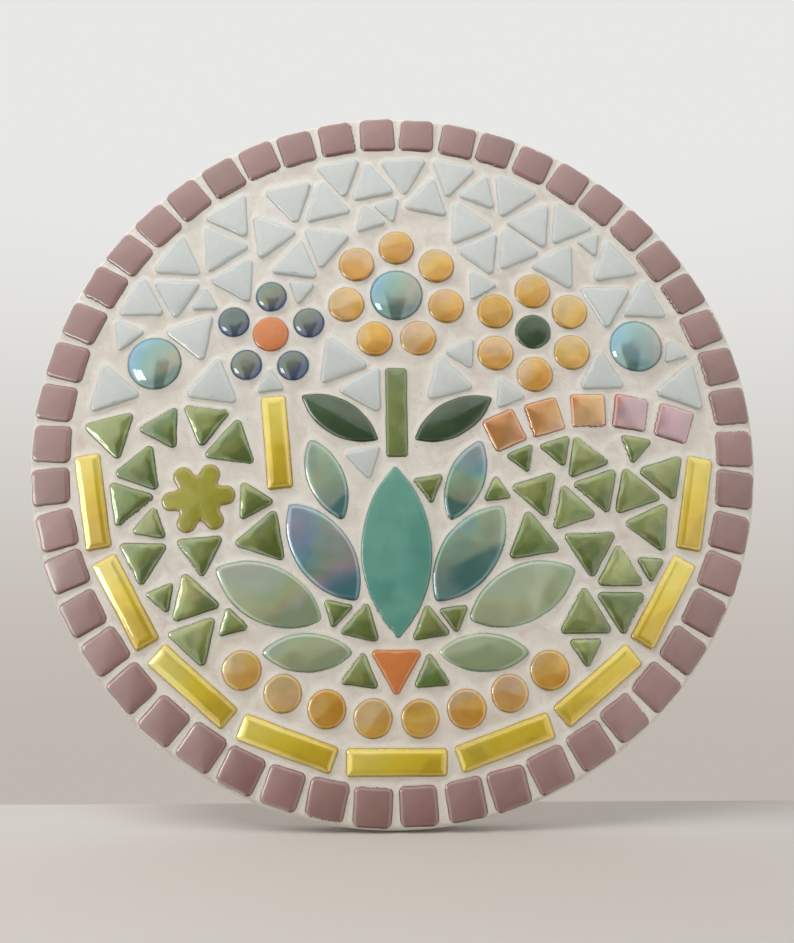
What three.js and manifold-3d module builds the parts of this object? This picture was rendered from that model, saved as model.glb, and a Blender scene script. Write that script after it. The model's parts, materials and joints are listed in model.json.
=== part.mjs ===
// A round mosaic panel: glass tiles glued on a painted disc, grouted between, made to be fixed to a
// wall by its back. Millimetres. The picture is laid out flat, x to the right and y up, with z from
// the back of the board to the tile faces; the last group stands it upright, with the tiles facing -Y.
import * as THREE from "three";
import { mergeVertices } from "three/addons/utils/BufferGeometryUtils.js";
import Module from "manifold-3d";

const wasm = await Module();
wasm.setup();

// ---- Driving dimensions ----

const PANEL_RADIUS = 150;
const RIM_SIDES = 72;
const FIELD_SIDES = 48;
const BOARD_THICKNESS = 9;
const BED_THICKNESS = 0.8; // the skin of tile adhesive on the board
const TILE_THICKNESS = 4;
const TILE_PROUD = 1.2; // how far a tile face stands above the grout
const EMBED = 0.4; // how deep the small tiles are pressed in the adhesive
const SEAM = 0.3; // play between neighbouring castings
const CHAMFER = 0.9;

const BED_LEVEL = BOARD_THICKNESS;
const TILE_LEVEL = BED_LEVEL + BED_THICKNESS;
const FACE_LEVEL = TILE_LEVEL + TILE_THICKNESS;
const GROUT_LEVEL = FACE_LEVEL - TILE_PROUD;

const BORDER = { count: 50, size: 14.6, radius: 140.2 };
const FIELD_RADIUS = 131.6; // the grout line between the border and the picture
const BAR = { length: 39, width: 10.4, radius: 124.6, count: 9, pitch: 19.8 };
const DISC = { diameter: 15, sides: 8 };
const ARC = { count: 8, radius: 108.4, pitch: 9.7, halfWidth: 9.3 };
const GEM_SIDES = 10;
const LARGE_GEM = { diameter: 23, height: 6.6 };
const SMALL_GEM = { diameter: 13.6, height: 5.4 };
const SQUARE = 14.8;
const TRIANGLE = { side: 20.6, shares: [1, 0.92, 0.84, 0.76, 0.68, 0.6, 0.52] };
const JOINT = 2; // least width of grout about a triangle

const BOTTOM = -90; // degrees, straight down
const DAISY = { x: 0, y: 66, ring: 21.6, petals: 7 };
const GEM_BLOSSOM = { x: -53, y: 48, ring: 16.8, petals: 5 };
const GOLD_BLOSSOM = { x: 58, y: 50, ring: 18.4, petals: 6 };
const LEFT_HILL = { x: -88, y: -86, radius: 104 };
const RIGHT_HILL = { x: 85, y: -80, radius: 104 };
const ARC_HALF_ANGLE = (ARC.count / 2) * ARC.pitch + 0.8;
const DAISY_BED = DAISY.ring + DISC.diameter / 2 + 1.6;

// How closely the ground's triangles are tried and packed.
const CELL = 0.7; // mm between the points of the map of free space
const FAR = 12; // mm of room past which it makes no difference
const SNUG = 1.2; // mm of room past which an edge counts as loose
const PACE = 1.2; // mm between the places tried
const TURNS = 20; // turns tried in the 120 degrees after which a triangle repeats
const EDGE_PACE = 2.3; // mm between the points looked at along a triangle's edge

// How the triangles then grow into the room that is left.
const SWELL = { passes: 90, step: 1.025, shift: 0.9, turn: 6, largest: 22.4 };

// ---- Small helpers ----

const radians = THREE.MathUtils.degToRad;
const point = (x, y) => new THREE.Vector2(x, y);
const polar = (radius, degrees) => point(radius, 0).rotateAround(point(0, 0), radians(degrees));

// Evenly spread numbers from -1 to 1, the same on every run.
let seed = 20;
function wobble(amount) {
  seed = (seed * 16807) % 2147483647;
  return amount * ((seed / 2147483647) * 2 - 1);
}

function placed(outline, centre, degrees) {
  const turn = radians(degrees);
  return outline.map((p) => p.clone().rotateAround(point(0, 0), turn).add(centre));
}

// ---- Outlines, all anticlockwise about their centre ----

function rectangle(width, height) {
  const [x, y] = [width / 2, height / 2];
  return [point(-x, -y), point(x, -y), point(x, y), point(-x, y)];
}

function round(diameter, sides) {
  return Array.from({ length: sides }, (_, i) => polar(diameter / 2, (360 * i) / sides));
}

function triangle(side) {
  return [BOTTOM - 60, BOTTOM + 60, BOTTOM + 180].map((a) => polar(side / Math.sqrt(3), a));
}

// A pointed oval along y, each side one arc in a few chords.
function leaf(length, width) {
  const steps = length > 60 ? 6 : 5;
  const [h, w] = [length / 2, width / 2];
  const radius = (h * h + w * w) / (2 * w);
  const half = Math.asin(h / radius);
  const side = (sign) =>
    Array.from({ length: steps }, (_, i) => {
      const a = -half + (2 * half * i) / steps;
      return point(sign * (radius * Math.cos(a) - radius + w), sign * radius * Math.sin(a));
    });
  return [...side(1), ...side(-1)];
}

// A tile pressed as a little flower: round lobes about a smaller middle.
function pressedFlower({ lobes, tip, valley, steps }) {
  const count = lobes * steps;
  return Array.from({ length: count }, (_, i) => {
    const a = (360 * i) / count;
    const bulge = Math.abs(Math.cos(radians((a * lobes) / 2))) ** 0.8;
    return polar(valley + (tip - valley) * bulge, a);
  });
}

// The outline moved inwards by `distance`, or outwards where that is negative.
function inset(outline, distance) {
  const count = outline.length;
  const normal = (a, b) => point(a.y - b.y, b.x - a.x).normalize();
  return outline.map((p, i) => {
    const before = normal(outline[(i + count - 1) % count], p);
    const after = normal(p, outline[(i + 1) % count]);
    return p.clone().addScaledVector(before.clone().add(after), distance / (1 + before.dot(after)));
  });
}

// ---- Solids ----

// Stacked rings of one outline, capped below and above.
function stack(rings) {
  const count = rings[0].outline.length;
  const positions = rings.flatMap(({ outline, z }) => outline.flatMap((p) => [p.x, p.y, z]));
  const index = [];
  const top = (rings.length - 1) * count;
  THREE.ShapeUtils.triangulateShape(rings[0].outline, []).forEach(([a, b, c]) => index.push(c, b, a));
  THREE.ShapeUtils.triangulateShape(rings.at(-1).outline, []).forEach(([a, b, c]) =>
    index.push(top + a, top + b, top + c),
  );
  for (let ring = 0; ring < top; ring += count) {
    for (let i = 0; i < count; i += 1) {
      const [a, b] = [ring + i, ring + ((i + 1) % count)];
      index.push(a, b, b + count, a, b + count, a + count);
    }
  }
  const geometry = new THREE.BufferGeometry();
  geometry.setAttribute("position", new THREE.Float32BufferAttribute(positions, 3));
  geometry.setIndex(index);
  return geometry;
}

function slab(outline, low, high) {
  return stack([
    { outline, z: low },
    { outline, z: high },
  ]);
}

function chamferedTile(outline) {
  return stack([
    { outline, z: TILE_LEVEL },
    { outline, z: FACE_LEVEL - CHAMFER },
    { outline: inset(outline, CHAMFER), z: FACE_LEVEL },
  ]);
}

// A flat-backed glass gem: three courses rising from the foot to a small crown.
function domedTile(outline, radius, height) {
  return stack([
    { outline: inset(outline, 0.08 * radius), z: TILE_LEVEL },
    { outline, z: TILE_LEVEL + 0.25 * height },
    { outline: inset(outline, 0.2 * radius), z: TILE_LEVEL + 0.72 * height },
    { outline: inset(outline, 0.58 * radius), z: TILE_LEVEL + height },
  ]);
}

function solidOf(geometry) {
  const merged = mergeVertices(geometry, 1e-5);
  return new wasm.Manifold(
    new wasm.Mesh({
      numProp: 3,
      vertProperties: new Float32Array(merged.getAttribute("position").array),
      triVerts: new Uint32Array(merged.getIndex().array),
    }),
  );
}

function geometryOf(solid) {
  const { vertProperties, triVerts } = solid.getMesh();
  const geometry = new THREE.BufferGeometry();
  geometry.setAttribute("position", new THREE.BufferAttribute(vertProperties, 3));
  geometry.setIndex(new THREE.BufferAttribute(triVerts, 1));
  return geometry;
}

// ---- Laying the tiles ----

// Each tile laid: its outline, its node, and what finds near neighbours quickly.
const tiles = [];

function measured(outline) {
  const centre = point(0, 0);
  outline.forEach((p) => centre.addScaledVector(p, 1 / outline.length));
  const reach = Math.max(...outline.map((p) => p.distanceTo(centre)));
  return { outline, centre, reach };
}

function lay(node, outline, centre, degrees) {
  const tile = { node, ...measured(placed(outline, centre, degrees)) };
  tiles.push(tile);
  return tile;
}

// One lay by hand: a touch off its place and a touch turned.
function layByHand(node, outline, centre, degrees, drift = 0.3, turn = 1.4) {
  const moved = centre.clone().add(point(wobble(drift), wobble(drift)));
  return lay(node, outline, moved, degrees + wobble(turn));
}

function layBorder() {
  for (let i = 0; i < BORDER.count; i += 1) {
    const angle = (360 * i) / BORDER.count;
    const square = rectangle(BORDER.size + wobble(0.25), BORDER.size + wobble(0.25));
    layByHand("border_squares", square, polar(BORDER.radius, angle), angle);
  }
}

function layBars() {
  for (let i = 0; i < BAR.count; i += 1) {
    const angle = BOTTOM + (i - (BAR.count - 1) / 2) * BAR.pitch;
    const bar = rectangle(BAR.width, BAR.length);
    layByHand(`yellow_bar_${i + 1}`, bar, polar(BAR.radius, angle), angle, 0.2, 0.6);
  }
}

function layGoldArc() {
  for (let i = 0; i < ARC.count; i += 1) {
    const angle = BOTTOM + (i - (ARC.count - 1) / 2) * ARC.pitch;
    const disc = round(DISC.diameter + wobble(0.5), DISC.sides);
    layByHand("gold_arc_discs", disc, polar(ARC.radius, angle), angle);
  }
}

// A ring of petal tiles about a middle one.
function layBlossom({ x, y, ring, petals }, middle, petal, nameOf) {
  const centre = point(x, y);
  lay(nameOf(0), middle, centre, 0);
  for (let i = 1; i <= petals; i += 1) {
    const angle = 90 + (360 * (i - 1)) / petals;
    layByHand(nameOf(i), petal, polar(ring, angle).add(centre), angle, 0.35, 3);
  }
}

function layBlossoms() {
  const largeGem = round(LARGE_GEM.diameter, GEM_SIDES);
  const smallGem = round(SMALL_GEM.diameter, GEM_SIDES);
  const disc = round(DISC.diameter, DISC.sides);
  layBlossom(DAISY, largeGem, disc, (i) => (i ? "daisy_discs" : "large_gem_daisy"));
  layBlossom(GEM_BLOSSOM, disc, smallGem, (i) => (i ? `small_gem_${i}` : "orange_disc"));
  layBlossom(GOLD_BLOSSOM, disc, disc, (i) => (i ? `gold_petal_${i}` : "dark_green_disc"));
}

// A row of squares along the brow of the right hill, just inside its edge.
function layCrest() {
  const radius = RIGHT_HILL.radius - 0.5 * SQUARE - 1;
  const pitch = 18.3 / radius;
  for (let i = 0; i < 5; i += 1) {
    const angle = 115 - THREE.MathUtils.radToDeg(pitch) * i;
    const centre = polar(radius, angle).add(point(RIGHT_HILL.x, RIGHT_HILL.y));
    layByHand(`lustre_square_${i + 1}`, rectangle(SQUARE, SQUARE), centre, angle, 0.3, 2.5);
  }
}

// The fan of leaves. Each grows from the foot of the plant at an angle from upright, and starts at
// its own distance from the foot, so that the outer leaves fill the forks of the inner ones.
const FOOT = point(0, -83);
const TURQUOISE_LEAF = { length: 70, width: 28, start: 5 };
const BROAD_LEAF = { length: 49, width: 22.6 };
const SLIM_LEAF = { length: 37.5, width: 15 };
const FAN = [
  { angle: 37, start: 25, size: BROAD_LEAF, names: ["broad_leaf_blue", "broad_leaf_teal"] },
  { angle: 66, start: 31, size: BROAD_LEAF, names: ["broad_leaf_pale_left", "broad_leaf_pale_right"] },
  { angle: 90.5, start: 16, size: SLIM_LEAF, names: ["slim_leaf_pale_left", "slim_leaf_pale_right"] },
  { angle: 22.5, start: 56, size: SLIM_LEAF, names: ["slim_leaf_teal_left", "slim_leaf_teal_right"] },
];

function layLeaf(name, { length, width }, base, angle, start) {
  const centre = polar(start + length / 2, 90 + angle).add(base);
  return layByHand(name, leaf(length, width), centre, angle, 0.3, 1.5);
}

function layFan() {
  layLeaf("turquoise_leaf", TURQUOISE_LEAF, FOOT, 0, TURQUOISE_LEAF.start);
  for (const { angle, start, size, names } of FAN) {
    layLeaf(names[0], size, FOOT, angle, start);
    layLeaf(names[1], size, FOOT, -angle, start);
  }
}

// Stems below the three blossoms, with a pair of dark leaves on the middle one.
function layStems() {
  const stem = { length: 38, width: 9, y: 14.5 };
  lay("green_stem", rectangle(stem.width, stem.length), point(0, stem.y), 0.6);
  for (const [name, side] of [["left", 1], ["right", -1]]) {
    const base = point(0, stem.y - 0.42 * stem.length);
    layLeaf(`dark_leaf_${name}`, SLIM_LEAF, base, 60 * side, 8.5);
  }
  const bar = rectangle(BAR.width, BAR.length);
  layByHand("yellow_stem", bar, point(-49, 1.5), 6);
}

function layAccents() {
  lay("orange_triangle", triangle(21.5), point(0, -88.2), 180);
  const largeGem = round(LARGE_GEM.diameter, GEM_SIDES);
  layByHand("large_gem_left", largeGem, point(-101, 35), 0);
  layByHand("large_gem_right", largeGem, point(102, 44), 0);
  const flower = pressedFlower({ lobes: 6, tip: 15, valley: 9.2, steps: 4 });
  layByHand("flower_tile", flower, point(-80, -22), 8);
}

// ---- The ground of triangles ----

const EDGE = JOINT / 2; // half a joint is kept from the line between two grounds
const toCircle = (p, { x, y, radius }) => p.distanceTo(point(x, y)) - radius;

// Each ground gives how far a point is inside it, less half a joint.
const GROUNDS = [
  { node: "green_triangles_left", depth: (p) => Math.min(-toCircle(p, LEFT_HILL), -p.x) - EDGE },
  { node: "green_triangles_right", depth: (p) => Math.min(-toCircle(p, RIGHT_HILL), p.x) - EDGE },
  {
    node: "white_triangles",
    depth: (p) => Math.min(toCircle(p, LEFT_HILL), toCircle(p, RIGHT_HILL)) - EDGE,
  },
];

function segmentGap(p, a, b) {
  const [dx, dy] = [b.x - a.x, b.y - a.y];
  const t = ((p.x - a.x) * dx + (p.y - a.y) * dy) / (dx * dx + dy * dy);
  const at = THREE.MathUtils.clamp(t, 0, 1);
  return Math.hypot(p.x - a.x - at * dx, p.y - a.y - at * dy);
}

function within(p, outline) {
  let inside = false;
  outline.forEach((a, i) => {
    const b = outline[(i + 1) % outline.length];
    const crosses = a.y > p.y !== b.y > p.y;
    if (crosses && p.x < a.x + ((p.y - a.y) / (b.y - a.y)) * (b.x - a.x)) inside = !inside;
  });
  return inside;
}

function gapToTile(p, { outline }) {
  const gaps = outline.map((a, i) => segmentGap(p, a, outline[(i + 1) % outline.length]));
  return within(p, outline) ? -Math.min(...gaps) : Math.min(...gaps);
}

// Points along an outline, close enough that no tile slips across an edge unseen.
function along(outline, spacing) {
  return outline.flatMap((a, i) => {
    const b = outline[(i + 1) % outline.length];
    const parts = Math.ceil(a.distanceTo(b) / spacing);
    return Array.from({ length: parts }, (_, k) => a.clone().lerp(b, k / parts));
  });
}

// Whether a gap is left between a candidate and every tile, other than the one it stands in for.
function clears(candidate, gap, self) {
  return tiles.every((tile) => {
    if (tile === self) return true;
    if (tile.centre.distanceTo(candidate.centre) > tile.reach + candidate.reach + gap) return true;
    const apart = (from, to) => along(from.outline, EDGE_PACE).every((p) => gapToTile(p, to) >= gap);
    return apart(candidate, tile) && apart(tile, candidate);
  });
}

// The map of free space. Each of its points holds the room that a triangle's edge has there before
// it comes too near a tile, the border, the gold arc's bed or the daisy's bed.
const ACROSS = Math.ceil((2 * FIELD_RADIUS) / CELL) + 1;
const room = new Float32Array(ACROSS * ACROSS);
const cellAt = (value) => Math.round((value + FIELD_RADIUS) / CELL);
const placeAt = (cell) => cell * CELL - FIELD_RADIUS;

// Lowers the map about a centre to the room that roomAt gives.
function lower(centre, reach, roomAt) {
  const columns = [cellAt(centre.x - reach), cellAt(centre.x + reach)];
  const lines = [cellAt(centre.y - reach), cellAt(centre.y + reach)];
  for (let j = Math.max(0, lines[0]); j <= Math.min(ACROSS - 1, lines[1]); j += 1) {
    for (let i = Math.max(0, columns[0]); i <= Math.min(ACROSS - 1, columns[1]); i += 1) {
      const k = j * ACROSS + i;
      room[k] = Math.min(room[k], roomAt(point(placeAt(i), placeAt(j))));
    }
  }
}

function takeRoom(tile) {
  lower(tile.centre, tile.reach + FAR, (p) => gapToTile(p, tile) - JOINT);
}

function arcRoom(p) {
  const sideways = (Math.abs(p.angle() - radians(270)) - radians(ARC_HALF_ANGLE)) * p.length();
  return Math.max(Math.abs(p.length() - ARC.radius) - ARC.halfWidth, sideways) - EDGE;
}

// The room a point has on its ground, before the tiles are thought of.
function bareRoom(ground, p) {
  const border = FIELD_RADIUS - EDGE - p.length();
  const daisy = toCircle(p, { ...DAISY, radius: DAISY_BED }) - EDGE;
  return Math.min(border, ground.depth(p), arcRoom(p), daisy);
}

function mapRoom(ground) {
  room.fill(FAR);
  lower(point(0, 0), FIELD_RADIUS, (p) => bareRoom(ground, p));
  tiles.forEach(takeRoom);
}

// The mean room along a triangle's edges, or Infinity where it doesn't fit. The least is the
// place where it lies snug against its neighbours.
function looseness(probes, x, y) {
  let total = 0;
  for (const { x: dx, y: dy } of probes) {
    const [i, j] = [cellAt(x + dx), cellAt(y + dy)];
    if (i < 0 || j < 0 || i >= ACROSS || j >= ACROSS) return Infinity;
    const free = room[j * ACROSS + i];
    if (free < 0) return Infinity;
    total += Math.min(free, SNUG);
  }
  return total / probes.length;
}

function triangleTile(ground, side, centre, degrees) {
  return { node: ground.node, side, degrees, ...measured(placed(triangle(side), centre, degrees)) };
}

function fits(ground, tile, self) {
  const onGround = along(tile.outline, EDGE_PACE).every((p) => bareRoom(ground, p) >= 0);
  return onGround && clears(tile, JOINT, self);
}

// Fills a ground with triangles of one size, each time where one fits most snugly.
function layTriangles(ground, side) {
  const turned = Array.from({ length: TURNS }, (_, k) => {
    const outline = placed(triangle(side), point(0, 0), (120 * k) / TURNS);
    return { degrees: (120 * k) / TURNS, probes: [...along(outline, EDGE_PACE), point(0, 0)] };
  });
  const paces = Math.ceil((2 * FIELD_RADIUS) / PACE);
  const scores = new Float32Array(paces * paces * TURNS);
  const rate = (centre, reach) => {
    const range = (c) => [
      Math.max(0, Math.floor((c - reach + FIELD_RADIUS) / PACE)),
      Math.min(paces - 1, Math.ceil((c + reach + FIELD_RADIUS) / PACE)),
    ];
    const [[left, right], [low, high]] = [range(centre.x), range(centre.y)];
    for (let j = low; j <= high; j += 1) {
      for (let i = left; i <= right; i += 1) {
        turned.forEach(({ probes }, k) => {
          const at = (j * paces + i) * TURNS + k;
          if (scores[at] === Infinity) return;
          scores[at] = looseness(probes, i * PACE - FIELD_RADIUS, j * PACE - FIELD_RADIUS);
        });
      }
    }
  };
  rate(point(0, 0), FIELD_RADIUS);
  for (;;) {
    let best = 0;
    for (let at = 1; at < scores.length; at += 1) if (scores[at] < scores[best]) best = at;
    if (scores[best] === Infinity) return;
    scores[best] = Infinity;
    const [k, cell] = [best % TURNS, Math.floor(best / TURNS)];
    const centre = point(
      (cell % paces) * PACE - FIELD_RADIUS,
      Math.floor(cell / paces) * PACE - FIELD_RADIUS,
    );
    const tile = triangleTile(ground, side, centre, turned[k].degrees);
    if (!fits(ground, tile)) continue;
    tiles.push(tile);
    takeRoom(tile);
    rate(centre, 2 * (tile.reach + JOINT));
  }
}

// Lets a ground's triangles grow, a step at a time, wherever a small shift and turn makes room.
function swell(ground) {
  const triangles = tiles.filter(({ node }) => node === ground.node);
  for (let pass = 0; pass < SWELL.passes; pass += 1) {
    for (const tile of triangles) {
      const side = Math.min(SWELL.largest, tile.side * SWELL.step);
      const centre = tile.centre.clone().add(point(wobble(SWELL.shift), wobble(SWELL.shift)));
      const grown = triangleTile(ground, side, centre, tile.degrees + wobble(SWELL.turn));
      if (side > tile.side && fits(ground, grown, tile)) Object.assign(tile, grown);
    }
  }
}

function layGround() {
  for (const ground of GROUNDS) {
    mapRoom(ground);
    TRIANGLE.shares.forEach((share) => layTriangles(ground, TRIANGLE.side * share));
    swell(ground);
  }
}

layBorder();
layBars();
layGoldArc();
layBlossoms();
layCrest();
layFan();
layStems();
layAccents();
layGround();

// ---- The beds: each group of small tiles shares the skin of adhesive it is pressed in ----

function cylinder(x, y, radius, low, high, sides = FIELD_SIDES) {
  return solidOf(slab(placed(round(2 * radius, sides), point(x, y), 0), low, high));
}

function arcBand(inner, outer, halfAngle, low, high) {
  const steps = 14;
  const angles = Array.from({ length: steps + 1 }, (_, i) => BOTTOM + halfAngle * ((2 * i) / steps - 1));
  const outline = [
    ...angles.map((a) => polar(outer, a)),
    ...angles.toReversed().map((a) => polar(inner, a)),
  ];
  return solidOf(slab(outline, low, high));
}

// Cutters reach past the bed on both faces, so that a cut leaves no skin.
const [CUT_LOW, CUT_HIGH] = [BED_LEVEL - 1, TILE_LEVEL + 1];

function makeBeds() {
  const bed = (radius, sides) => cylinder(0, 0, radius, BED_LEVEL, TILE_LEVEL, sides);
  const half = (side) => {
    const shift = (side * (PANEL_RADIUS - SEAM)) / 2;
    const outline = placed(rectangle(PANEL_RADIUS, 2 * PANEL_RADIUS), point(shift, 0), 0);
    return solidOf(slab(outline, CUT_LOW, CUT_HIGH));
  };
  const hill = ({ x, y, radius }, grow) => cylinder(x, y, radius + grow, CUT_LOW, CUT_HIGH);
  const band = (grow) => {
    const [inner, outer] = [ARC.radius - ARC.halfWidth - grow, ARC.radius + ARC.halfWidth + grow];
    return arcBand(inner, outer, ARC_HALF_ANGLE + grow / 2, CUT_LOW, CUT_HIGH);
  };
  const daisy = (grow) => cylinder(DAISY.x, DAISY.y, DAISY_BED + grow, CUT_LOW, CUT_HIGH, 32);
  const field = bed(FIELD_RADIUS - SEAM / 2);
  const beyondField = cylinder(0, 0, FIELD_RADIUS + SEAM / 2, CUT_LOW, CUT_HIGH);
  const open = field.subtract(band(SEAM)).subtract(daisy(SEAM));
  return {
    border_squares: bed(PANEL_RADIUS - 1, RIM_SIDES).subtract(beyondField),
    gold_arc_discs: field.intersect(band(0)),
    daisy_discs: field.intersect(daisy(0)),
    green_triangles_left: open.intersect(hill(LEFT_HILL, 0)).subtract(half(1)),
    green_triangles_right: open.intersect(hill(RIGHT_HILL, 0)).subtract(half(-1)),
    white_triangles: open.subtract(hill(LEFT_HILL, SEAM)).subtract(hill(RIGHT_HILL, SEAM)),
  };
}

function groupedTiles(node, bed) {
  return tiles
    .filter((tile) => tile.node === node)
    .reduce((solid, { outline }) => solid.add(solidOf(slab(outline, TILE_LEVEL - EMBED, FACE_LEVEL))), bed);
}

// ---- Board and grout ----

function makeBoard() {
  const edge = 0.8;
  const rim = round(2 * PANEL_RADIUS, RIM_SIDES);
  const eased = inset(rim, edge);
  return stack([
    { outline: eased, z: 0 },
    { outline: rim, z: edge },
    { outline: rim, z: BOARD_THICKNESS },
  ]);
}

// The grout stands on the adhesive, falls away at the rim, and is pierced by every tile.
function makeGrout() {
  const foot = round(2 * (PANEL_RADIUS - 1), RIM_SIDES);
  const plate = stack([
    { outline: foot, z: TILE_LEVEL },
    { outline: foot, z: TILE_LEVEL + 0.9 },
    { outline: round(2 * (PANEL_RADIUS - 1.35), RIM_SIDES), z: GROUT_LEVEL },
  ]);
  const pierce = (grout, { outline }) =>
    grout.subtract(solidOf(slab(inset(outline, -SEAM), TILE_LEVEL - 1, FACE_LEVEL)));
  return geometryOf(tiles.reduce(pierce, solidOf(plate)));
}

// ---- Materials ----

const finish = (color, roughness, metalness = 0) =>
  new THREE.MeshStandardMaterial({ color, roughness, metalness, flatShading: true });
const glass = (color) => finish(color, 0.15);
const lustre = (color) => finish(color, 0.2, 0.15);

const MATERIALS = {
  board: finish("#d8d3ca", 0.7),
  grout: finish("#e1dad2", 0.95),
  border: glass("#9d7f7c"),
  white: glass("#cdcfca"),
  green: lustre("#8a9454"),
  yellow: lustre("#cbb557"),
  gold: lustre("#cda050"),
  orange: glass("#cd8146"),
  darkGreen: glass("#46583d"),
  turquoise: glass("#6a9d8e"),
  teal: lustre("#6b8c7e"),
  blue: lustre("#809292"),
  pale: lustre("#a4aa8d"),
  copper: lustre("#bf9168"),
  stem: glass("#768348"),
  flower: glass("#99933d"),
  gem: lustre("#7f9b98"),
  smallGem: lustre("#6d7972"),
};

// The first word that a tile's name holds gives its glass.
const GLASS_BY_WORD = [
  ["border", "border"],
  ["white", "white"],
  ["green_triangles", "green"],
  ["yellow", "yellow"],
  ["gold", "gold"],
  ["daisy_discs", "gold"],
  ["orange", "orange"],
  ["dark", "darkGreen"],
  ["large_gem", "gem"],
  ["small_gem", "smallGem"],
  ["lustre_square", "copper"],
  ["turquoise", "turquoise"],
  ["blue", "blue"],
  ["teal", "teal"],
  ["pale", "pale"],
  ["green_stem", "stem"],
  ["flower", "flower"],
];

function glassFor(name) {
  return MATERIALS[GLASS_BY_WORD.find(([word]) => name.includes(word))[1]];
}

// ---- The panel ----

const panel = new THREE.Group();

function add(name, geometry, material) {
  const mesh = new THREE.Mesh(geometry, material);
  mesh.name = name;
  panel.add(mesh);
}

function addSingleTile({ node, outline }) {
  const gem = [["large_gem", LARGE_GEM], ["small_gem", SMALL_GEM]].find(([word]) => node.startsWith(word));
  const geometry = gem ? domedTile(outline, gem[1].diameter / 2, gem[1].height) : chamferedTile(outline);
  add(node, geometry, glassFor(node));
}

add("board", makeBoard(), MATERIALS.board);
add("grout", makeGrout(), MATERIALS.grout);
const beds = makeBeds();
for (const [node, bed] of Object.entries(beds)) {
  add(node, geometryOf(groupedTiles(node, bed)), glassFor(node));
}
tiles.filter(({ node }) => !(node in beds)).forEach(addSingleTile);

panel.rotation.x = Math.PI / 2;

export default panel;
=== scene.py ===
"""A round panel of glass mosaic tiles set in pale grout on a painted board."""
import json
import math
from collections import namedtuple

import bmesh
import bpy
import numpy as np
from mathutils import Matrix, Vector, kdtree

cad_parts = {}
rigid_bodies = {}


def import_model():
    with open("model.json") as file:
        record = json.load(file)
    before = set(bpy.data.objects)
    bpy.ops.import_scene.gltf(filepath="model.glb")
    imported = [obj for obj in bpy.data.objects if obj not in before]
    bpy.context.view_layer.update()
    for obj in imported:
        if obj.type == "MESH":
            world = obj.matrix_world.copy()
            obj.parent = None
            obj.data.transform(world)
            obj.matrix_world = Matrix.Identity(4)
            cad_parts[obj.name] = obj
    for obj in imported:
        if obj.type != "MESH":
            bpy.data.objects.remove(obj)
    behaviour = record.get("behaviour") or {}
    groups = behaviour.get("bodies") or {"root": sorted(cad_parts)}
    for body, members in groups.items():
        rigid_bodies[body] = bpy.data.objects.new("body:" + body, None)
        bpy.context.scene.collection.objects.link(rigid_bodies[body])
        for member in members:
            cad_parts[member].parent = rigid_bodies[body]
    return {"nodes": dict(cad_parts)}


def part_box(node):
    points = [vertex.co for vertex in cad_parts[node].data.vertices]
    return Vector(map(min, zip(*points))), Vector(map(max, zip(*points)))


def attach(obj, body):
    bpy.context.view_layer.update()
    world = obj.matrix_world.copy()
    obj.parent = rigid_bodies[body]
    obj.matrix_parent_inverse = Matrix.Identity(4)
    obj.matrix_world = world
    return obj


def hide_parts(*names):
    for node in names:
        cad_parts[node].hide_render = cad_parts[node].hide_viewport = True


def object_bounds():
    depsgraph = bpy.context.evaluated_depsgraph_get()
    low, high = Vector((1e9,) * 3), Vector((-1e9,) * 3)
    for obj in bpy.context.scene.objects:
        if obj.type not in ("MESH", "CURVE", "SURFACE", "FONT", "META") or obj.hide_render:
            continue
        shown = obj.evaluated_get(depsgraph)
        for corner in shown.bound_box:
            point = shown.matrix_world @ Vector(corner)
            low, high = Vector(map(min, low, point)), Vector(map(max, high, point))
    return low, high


for leftover in list(bpy.data.objects):
    bpy.data.objects.remove(leftover)
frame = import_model()
cad_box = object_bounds()
NODES = frame["nodes"]

# Lengths are in millimetres until a mesh is made. A level is a height above the back
# of the board: the panel faces -Y, so a point of the plane (x, z) at a level is (x, -level, z).
MM = 0.001
BOARD_LEVEL = 9.0
TILE_FOOT = 9.8
GROUT_LEVEL = 12.6
FACE_LEVEL = 13.8
PANEL_RADIUS = 150.0
BORDER_SPREAD = 1.004  # the border squares run out to the edge of the grout
WALL_FOOT = GROUT_LEVEL - 1.6  # the glass starts this deep in the grout
STEP = 0.55  # between the points of an outline
ARC_STEP = 0.8 * STEP
LEAST_POINTS = 24
CURVE_STEPS = 8  # between two points that a curve is drawn through

rng = np.random.default_rng(41)


# ---------------------------------------------------------------- outlines from the CAD nodes

SAME_POINT = 1e-6  # in metres
SAME_LEVEL = 0.02
FACING = 0.9  # the least share of a flat face's normal that lies along Y
LEAST_TURN = 0.02  # the sine of the least turn that makes a corner
LEAN = 0.01  # settles which of two points that are equally far left comes first
CORNER_SHARE = 0.45  # the share of a side that a rounded corner may take


def flat_faces(bm, level, side):
    """The flat faces at a level that face the viewer (1) or the board (-1)."""
    flat = set()
    for face in bm.faces:
        level_gap = max(abs(-v.co.y / MM - level) for v in face.verts)
        if level_gap < SAME_LEVEL and -face.normal.y * side > FACING:
            flat.add(face)
    return flat


def outer_edges(faces):
    """The closed rows of points round a set of faces."""
    following = {}
    for face in faces:
        for loop in face.loops:
            if not any(other in faces for other in loop.edge.link_faces if other is not face):
                following[loop.vert] = loop.link_loop_next.vert
    while following:
        start, vert = following.popitem()
        points = [start.co]
        while vert is not start:
            points.append(vert.co)
            vert = following.pop(vert)
        yield np.array([(p.x, p.z) for p in points]) / MM


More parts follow.
